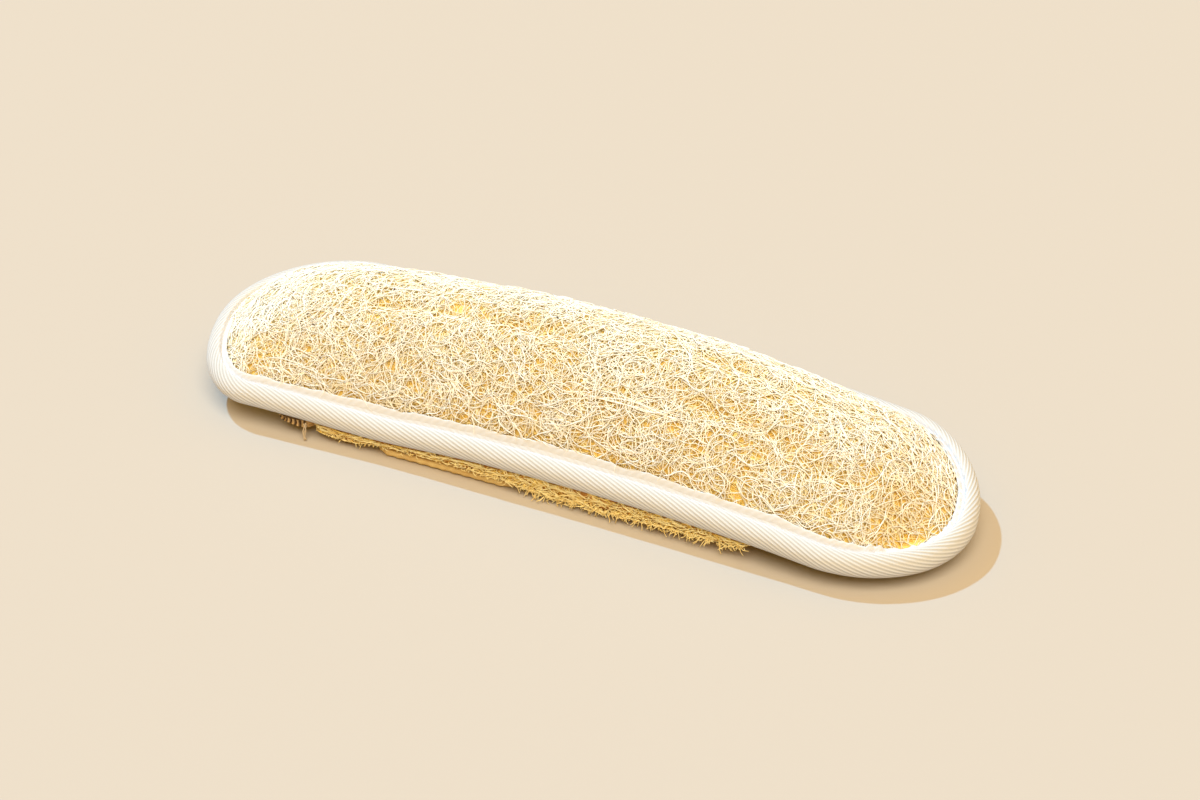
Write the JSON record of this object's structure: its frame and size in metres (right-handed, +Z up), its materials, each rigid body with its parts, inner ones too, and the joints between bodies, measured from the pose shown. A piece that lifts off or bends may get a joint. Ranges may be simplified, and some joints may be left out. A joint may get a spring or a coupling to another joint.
{
  "type": "natural loofah scrubbing pad",
  "caption": "Long crowned pad of natural loofah fibre, bound round its edge with folded cotton tape, with a second fibre layer, cotton backing and gathered cuff beneath.",
  "frame": {"origin": "centre of the footprint, on the surface the pad lies on", "axes": "+X along the pad to the end that is on the right in the picture, +Y away from its near long edge, +Z up through the crown"},
  "size_m": [0.28, 0.0802, 0.0463],
  "materials": {
    "loofah_front": "matte dry plant fibre",
    "cotton_tape": "matte herringbone cotton",
    "loofah_back": "matte dry plant fibre",
    "cotton_backing": "matte cotton cloth",
    "gathered_cuff": "matte gathered cotton"
  },
  "bodies": {
    "root": {"front_loofah": "loofah_front", "binding_tape": "cotton_tape", "back_loofah": "loofah_back", "back_cloth": "cotton_backing", "cuff": "gathered_cuff"}
  },
  "joints": []
}
